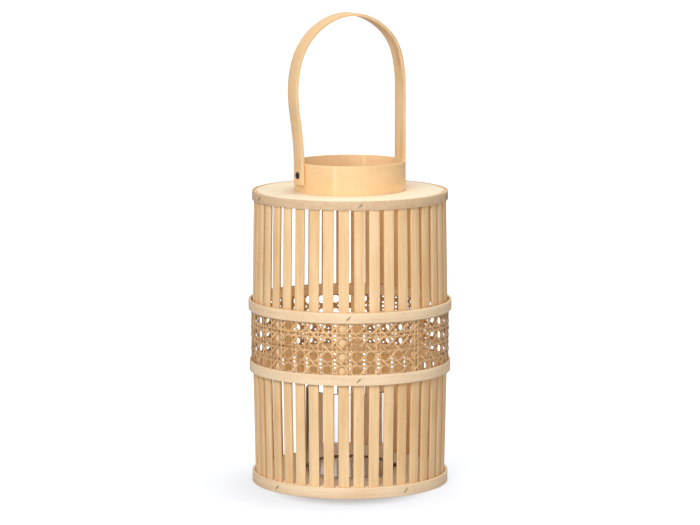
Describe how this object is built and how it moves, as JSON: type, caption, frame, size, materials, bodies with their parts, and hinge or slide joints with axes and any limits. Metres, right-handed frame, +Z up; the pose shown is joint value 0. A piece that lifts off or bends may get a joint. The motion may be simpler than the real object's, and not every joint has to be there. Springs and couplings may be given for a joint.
{
  "type": "candle lantern",
  "caption": "Barrel-shaped candle lantern of bamboo slats with a woven cane waist, round collar, swinging strap handle and loose glass cylinder.",
  "frame": {"origin": "centre of the base, on the surface the lantern stands on", "axes": "+Z up along the cage's axis; +X along the handle's rivet line, towards the straight leg of the handle"},
  "size_m": [0.1847, 0.1842, 0.4256],
  "materials": {
    "bamboo_slat": "planed bamboo, satin lacquer",
    "bamboo_hoop": "planed bamboo strip, satin lacquer",
    "bent_veneer": "bent wood strip, satin lacquer",
    "pale_ply": "sanded plywood, laser-cut edge",
    "cane_webbing": "natural woven cane, glossy bark side out",
    "dark_rivet": "dark bronzed steel",
    "staple_wire": "dull staple wire",
    "clear_glass": "clear"
  },
  "bodies": {
    "cage": {"base_floor": "pale_ply", "base_ring": "pale_ply", "bottom_hoop": "bamboo_hoop", "cane_band": "cane_webbing", "collar": "bent_veneer", "hoop_staples": "staple_wire", "lower_hoop": "bamboo_hoop", "lower_inner_hoop": "bamboo_hoop", "lower_slats_1": "bamboo_slat", "lower_slats_2": "bamboo_slat", "lower_slats_3": "bamboo_slat", "lower_slats_4": "bamboo_slat", "lower_slats_5": "bamboo_slat", "lower_slats_6": "bamboo_slat", "lower_slats_7": "bamboo_slat", "lower_slats_8": "bamboo_slat", "post_1": "bamboo_slat", "post_2": "bamboo_slat", "post_3": "bamboo_slat", "post_4": "bamboo_slat", "post_5": "bamboo_slat", "post_6": "bamboo_slat", "post_7": "bamboo_slat", "post_8": "bamboo_slat", "rivet_left": "dark_rivet", "rivet_right": "dark_rivet", "rivet_washer_left": "dark_rivet", "rivet_washer_right": "dark_rivet", "top_disc": "pale_ply", "top_hoop": "bamboo_hoop", "upper_hoop": "bamboo_hoop", "upper_inner_hoop": "bamboo_hoop", "upper_slats_1": "bamboo_slat", "upper_slats_2": "bamboo_slat", "upper_slats_3": "bamboo_slat", "upper_slats_4": "bamboo_slat", "upper_slats_5": "bamboo_slat", "upper_slats_6": "bamboo_slat", "upper_slats_7": "bamboo_slat", "upper_slats_8": "bamboo_slat"},
    "handle": {"handle": "bent_veneer"},
    "glass": {"glass_cylinder": "clear_glass"}
  },
  "joints": [
    {"name": "handle_swing", "type": "hinge", "parent": "cage", "child": "handle", "pos_m": [0, 0, 0.2815], "axis": [1, 0, 0], "range_deg": [-93, 93]},
    {"name": "glass_lift", "type": "slide", "parent": "cage", "child": "glass", "axis": [0, 0, 1], "range_m": [0, 0.29]}
  ]
}
